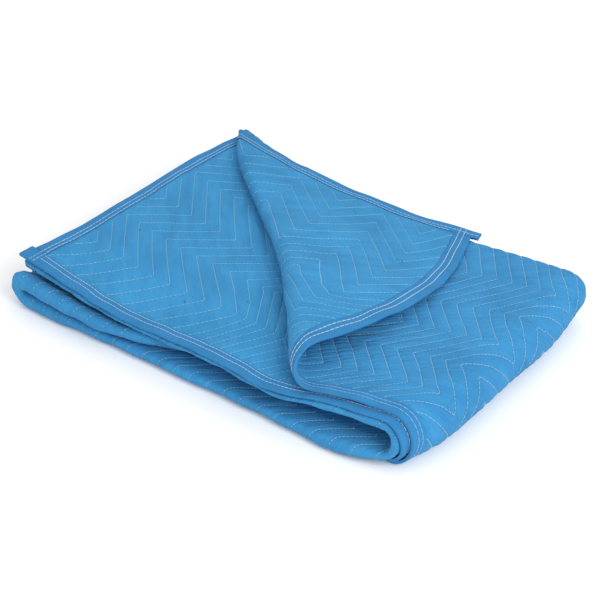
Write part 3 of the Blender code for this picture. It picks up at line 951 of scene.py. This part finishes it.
def stitch_shows(along, across, side):
    """Whether a quilting stitch on one face can be seen from outside the bundle."""
    v = layer_place(across)
    turn_side = past_turn(along, v)
    inside = edge_distance(along, across) > PRESSED_WIDTH + 0.002
    upper = across < ACROSS_STARTS[2] + 0.01
    if side > 0:
        open_upper = upper & ((along > TOP_END) | (turn_side > -0.07)) & (along < LEFT_END_OF_BEND + 0.02)
        front_loop = (across > ACROSS_STARTS[3] - 0.03) & (across < ACROSS_STARTS[4] + 0.03)
        return inside & (open_upper | front_loop)
    flap = upper & (along < TOP_END) & (turn_side < 0.045)
    second = (across > ACROSS_STARTS[6] + 0.01) & (along < TOP_END) & (turn_side < 0.05)
    return inside & (flap | second)


def quilting_stitches(side):
    """Starts and ends of every quilting stitch that shows on one face."""
    starts, ends = [], []
    turns = round(WIDE / HALF_ZIGZAG)
    for turn in range(turns):
        low, high = turn * HALF_ZIGZAG, (turn + 1) * HALF_ZIGZAG
        for row in range(FIRST_ROW, LAST_ROW + 1):
            place = row * ROW_PITCH
            first, last = stitch_run(
                (place + zigzag(low), low), (place + zigzag(high), high), QUILT_STITCH, QUILT_GAP
            )
            starts.append(first)
            ends.append(last)
    starts = np.stack(drifted_place(*np.concatenate(starts).T), axis=1)
    ends = np.stack(drifted_place(*np.concatenate(ends).T), axis=1)
    middle = (starts + ends) / 2
    shown = stitch_shows(middle[:, 0], middle[:, 1], side)
    return starts[shown], ends[shown]


# %% Sew the quilting
def quilting_thread(name, side):
    starts, ends = quilting_stitches(side)
    middle = (starts + ends) / 2
    offsets = half_thickness(middle[:, 0], middle[:, 1], np.full(len(middle), side))
    flat, faces = spindles(starts, ends, offsets + 0.0002, QUILT_THREAD, 0.00045, side)
    piece = make_piece(name, flat, faces)
    print(name, len(starts), "stitches,", 16 * len(starts), "triangles")
    return piece


outer_thread = quilting_thread("quilting_thread_outer", 1)
inner_thread = quilting_thread("quilting_thread_inner", -1)

# %% [markdown]
# ## Binding stitches
#
# Two rows run along each strip, on both its faces. At the two loose tails the rows of the crossing strip
# run over it, as on the real corners.

# %% Sew the bindings
BINDING_STITCH = 0.0062
BINDING_GAP = 0.0004
BINDING_THREAD = 0.0009
BINDING_OUTER = PRESSED_HALF + CLEARANCE + BINDING_WALL


def binding_rows():
    """The straight runs of the binding stitches, as (start, end) on the flat blanket."""
    inner_line, outer_line = STITCH_LINES
    runs = []
    for line in STITCH_LINES:
        runs.append(((0.0235, WIDE - line), (LONG - 0.002, WIDE - line)))
    for line in UPPER_STITCH_LINES:
        runs.append(((0.002, line), (LONG - 0.002, line)))
    runs.append(((outer_line, -TAIL + 0.0015), (outer_line, WIDE - 0.0005)))
    runs.append(((inner_line, 0.030), (inner_line, WIDE - 0.0005)))
    return runs


def binding_thread(name, side):
    starts, ends = [], []
    for start, end in binding_rows():
        first, last = stitch_run(start, end, BINDING_STITCH, BINDING_GAP)
        middle = (first + last) / 2
        shown = middle[:, 0] < LEFT_END_OF_BEND + 0.05
        hidden = (middle[:, 1] > 0.48) & (middle[:, 1] < 0.90) | (middle[:, 1] > 0.95) & (middle[:, 1] < 1.36)
        starts.append(first[shown & ~hidden])
        ends.append(last[shown & ~hidden])
    starts, ends = np.concatenate(starts), np.concatenate(ends)
    offsets = np.full(len(starts), BINDING_OUTER - STITCH_DIP + 0.0001)
    flat, faces = spindles(starts, ends, offsets, BINDING_THREAD, 0.00045, side)
    piece = make_piece(name, flat, faces)
    print(name, len(starts), "stitches")
    return piece


outer_binding_thread = binding_thread("binding_thread_outer", 1)
inner_binding_thread = binding_thread("binding_thread_inner", -1)

# %% [markdown]
# ## Lint
#
# A few dark fibres cling to the inner face. They are tiny, but they break up an even field of cloth. Each
# is a short loose spindle on the surface, made by the same helper as the stitches.

# %% Scatter the lint
LINT = (
    # along, across, length, direction in degrees
    (0.083, 1.677, 0.0022, 30),
    (0.263, 1.756, 0.0028, 100),
    (0.337, 1.708, 0.0018, 160),
    (0.171, 0.058, 0.0018, 70),
)


def lint_flecks():
    table = np.array(LINT)
    turn = np.radians(table[:, 3])
    half = np.stack([np.cos(turn), np.sin(turn)], axis=1) * table[:, 2:3] / 2
    middle = table[:, :2]
    offsets = half_thickness(middle[:, 0], middle[:, 1], np.full(len(table), -1)) + 0.0004
    flat, faces = spindles(middle - half, middle + half, offsets, 0.0011, 0.0006, -1)
    return make_piece("lint_flecks", flat, faces)


lint = lint_flecks()

# %% [markdown]
# ## Finishes
#
# The cloth is a matt dyed fabric with a slight fuzz. Its colour is uneven at two scales: broad soft
# patches, and a fine mottle. Fine creases run slantwise over the outer face, where the quilting has drawn
# the cloth up. All of it is laid out on the flat blanket, through the flat places kept on each piece, so
# it follows the cloth round every fold.

# %% A small helper for node trees
def new_material(name, roughness, sheen):
    """A material with its shader, and the flat place of each point."""
    material = bpy.data.materials.new(name)
    material.use_nodes = True
    nodes = material.node_tree.nodes
    shader = nodes["Principled BSDF"]
    shader.inputs["Roughness"].default_value = roughness
    shader.inputs["Specular IOR Level"].default_value = 0.1
    shader.inputs["Sheen Weight"].default_value = sheen
    shader.inputs["Sheen Roughness"].default_value = 0.6
    place = nodes.new("ShaderNodeAttribute")
    place.attribute_name = "flat_place"
    return material, shader, place


def add_noise(material, place, scale, detail, turn=0.0, stretch=1.0):
    """Noise on the flat blanket. scale is in waves per metre, drawn out by stretch along turn."""
    nodes, links = material.node_tree.nodes, material.node_tree.links
    mapping = nodes.new("ShaderNodeMapping")
    mapping.vector_type = "TEXTURE"
    mapping.inputs["Rotation"].default_value = (0, 0, turn)
    mapping.inputs["Scale"].default_value = (stretch, 1, 1)
    noise = nodes.new("ShaderNodeTexNoise")
    noise.inputs["Scale"].default_value = scale
    noise.inputs["Detail"].default_value = detail
    noise.inputs["Roughness"].default_value = 0.55
    links.new(place.outputs["Vector"], mapping.inputs["Vector"])
    links.new(mapping.outputs["Vector"], noise.inputs["Vector"])
    return noise.outputs["Fac"]


def add_tones(material, factor, low, high, first, second):
    """A colour that goes from the first to the second as the factor goes from low to high."""
    ramp = material.node_tree.nodes.new("ShaderNodeValToRGB")
    ramp.color_ramp.elements[0].position = low
    ramp.color_ramp.elements[1].position = high
    ramp.color_ramp.elements[0].color = (*first, 1)
    ramp.color_ramp.elements[1].color = (*second, 1)
    material.node_tree.links.new(factor, ramp.inputs["Fac"])
    return ramp.outputs["Color"]


def multiply(material, first, second):
    mix = material.node_tree.nodes.new("ShaderNodeMix")
    mix.data_type = "RGBA"
    mix.blend_type = "MULTIPLY"
    mix.inputs["Factor"].default_value = 1.0
    material.node_tree.links.new(first, mix.inputs["A"])
    material.node_tree.links.new(second, mix.inputs["B"])
    return mix.outputs["Result"]


def add_bump(material, height, strength, distance, below=None):
    bump = material.node_tree.nodes.new("ShaderNodeBump")
    bump.inputs["Strength"].default_value = strength
    bump.inputs["Distance"].default_value = distance
    material.node_tree.links.new(height, bump.inputs["Height"])
    if below is not None:
        material.node_tree.links.new(below, bump.inputs["Normal"])
    return bump.outputs["Normal"]


# %% Quilted cloth, outer and inner face
def cloth_material(name, color, creases):
    """Dyed cloth with mottle, slanting creases and a fine weave."""
    material, shader, place = new_material(name, 0.92, 0.04)
    links = material.node_tree.links
    lighter = tuple(min(1, channel * 1.07) for channel in color)
    darker = tuple(channel * 0.90 for channel in color)
    patches = add_tones(material, add_noise(material, place, 11, 4), 0.35, 0.65, darker, lighter)
    streaks = add_noise(material, place, 70, 4, math.radians(40), 4.0)
    streaks = add_tones(material, streaks, 0.3, 0.7, (0.84, 0.90, 0.94), (1.08, 1.05, 1.03))
    mottle = add_noise(material, place, 330, 5)
    mottle = add_tones(material, mottle, 0.3, 0.7, (0.86, 0.90, 0.94), (1.06, 1.05, 1.03))
    tone = multiply(material, multiply(material, patches, streaks), mottle)
    links.new(tone, shader.inputs["Base Color"])
    crease = add_noise(material, place, 170, 3, math.radians(40), 7.0)
    normal = add_bump(material, crease, creases, 0.0045)
    weave = add_noise(material, place, 1500, 2)
    links.new(add_bump(material, weave, 0.25, 0.0003, normal), shader.inputs["Normal"])
    return material


OUTER_BLUE = (0.042, 0.257, 0.520)
INNER_BLUE = (0.042, 0.268, 0.530)
blanket.data.materials.append(cloth_material("quilted_face", OUTER_BLUE, 0.95))
blanket.data.materials.append(cloth_material("quilted_lining", INNER_BLUE, 0.5))


# %% Binding tape and threads
def tape_material():
    """Woven tape, a little more violet than the cloth, with a fine slanting rib."""
    material, shader, place = new_material("binding_tape", 0.85, 0.03)
    links = material.node_tree.links
    tone = add_noise(material, place, 30, 3)
    tone = add_tones(material, tone, 0.3, 0.7, (0.027, 0.184, 0.410), (0.036, 0.216, 0.465))
    links.new(tone, shader.inputs["Base Color"])
    rib = material.node_tree.nodes.new("ShaderNodeTexWave")
    rib.bands_direction = "DIAGONAL"
    rib.inputs["Scale"].default_value = 190
    rib.inputs["Distortion"].default_value = 0.4
    links.new(place.outputs["Vector"], rib.inputs["Vector"])
    puckers = add_bump(material, add_noise(material, place, 110, 2), 0.25, 0.0015)
    normal = add_bump(material, rib.outputs["Fac"], 0.3, 0.0002, puckers)
    links.new(normal, shader.inputs["Normal"])
    return material


def thread_material(name, color):
    """Spun thread, uneven in tone along its length."""
    material, shader, place = new_material(name, 0.6, 0.0)
    links = material.node_tree.links
    darker = tuple(channel * 0.86 for channel in color)
    tone = add_tones(material, add_noise(material, place, 220, 2), 0.35, 0.65, darker, color)
    links.new(tone, shader.inputs["Base Color"])
    twist = add_noise(material, place, 2600, 1)
    links.new(add_bump(material, twist, 0.4, 0.0002), shader.inputs["Normal"])
    return material


tape = tape_material()
for piece in bindings.values():
    piece.data.materials.append(tape)
quilt_white = thread_material("quilting_thread", (0.31, 0.55, 0.70))
bright_white = thread_material("binding_thread", (0.62, 0.74, 0.84))
faded_white = thread_material("faded_binding_thread", (0.30, 0.50, 0.72))
for piece in (outer_thread, inner_thread):
    piece.data.materials.append(quilt_white)
outer_binding_thread.data.materials.append(faded_white)
inner_binding_thread.data.materials.append(bright_white)
lint.data.materials.append(thread_material("lint", (0.012, 0.030, 0.055)))

# %% [markdown]
# ## Floor and light
#
# The photograph is lit from all round, with almost no shadow. A bright even sky does most of that, and a
# broad lamp from the right and above gives the fold its soft shaded side.

# %% Floor
floor_mesh = bpy.data.meshes.new("floor")
FLOOR_REACH = 6.0
floor_mesh.from_pydata(
    [(x, y, -0.0004) for x, y in ((-1, -1), (1, -1), (1, 1), (-1, 1))],
    [],
    [(0, 1, 2, 3)],
)
floor = bpy.data.objects.new("floor", floor_mesh)
floor.scale = (FLOOR_REACH, FLOOR_REACH, 1)
scene.collection.objects.link(floor)
floor_material = bpy.data.materials.new("floor")
floor_material.use_nodes = True
floor_shader = floor_material.node_tree.nodes["Principled BSDF"]
floor_shader.inputs["Base Color"].default_value = (0.98, 0.98, 0.98, 1)
floor_shader.inputs["Roughness"].default_value = 0.9
floor_shader.inputs["Specular IOR Level"].default_value = 0.0
floor_mesh.materials.append(floor_material)

# %% Light
SKY_STRENGTH = 0.96
LAMP_POWER = 27
LAMP_SIZE = 1.3
LAMP_PLACE = (1.9, -0.6, 1.6)

world = bpy.data.worlds.new("sky")
world.use_nodes = True
world.node_tree.nodes["Background"].inputs["Color"].default_value = (1, 1, 1, 1)
world.node_tree.nodes["Background"].inputs["Strength"].default_value = SKY_STRENGTH
scene.world = world
lamp = bpy.data.objects.new("lamp", bpy.data.lights.new("lamp", "AREA"))
lamp.data.shape = "DISK"
lamp.data.size = LAMP_SIZE
lamp.data.energy = LAMP_POWER
lamp.location = LAMP_PLACE
toward_lamp = np.array(LAMP_PLACE)
lamp.rotation_euler = (
    math.acos(toward_lamp[2] / np.linalg.norm(toward_lamp)),
    0,
    math.atan2(toward_lamp[0], -toward_lamp[1]),
)
scene.collection.objects.link(lamp)
scene.view_settings.view_transform = "Standard"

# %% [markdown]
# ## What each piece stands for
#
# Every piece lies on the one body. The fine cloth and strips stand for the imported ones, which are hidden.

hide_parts("cloth")
for node, piece in bindings.items():
    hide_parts(node)
threads = [outer_thread, inner_thread, outer_binding_thread, inner_binding_thread, lint]
for piece in [blanket, *bindings.values(), *threads]:
    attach(piece, "root")
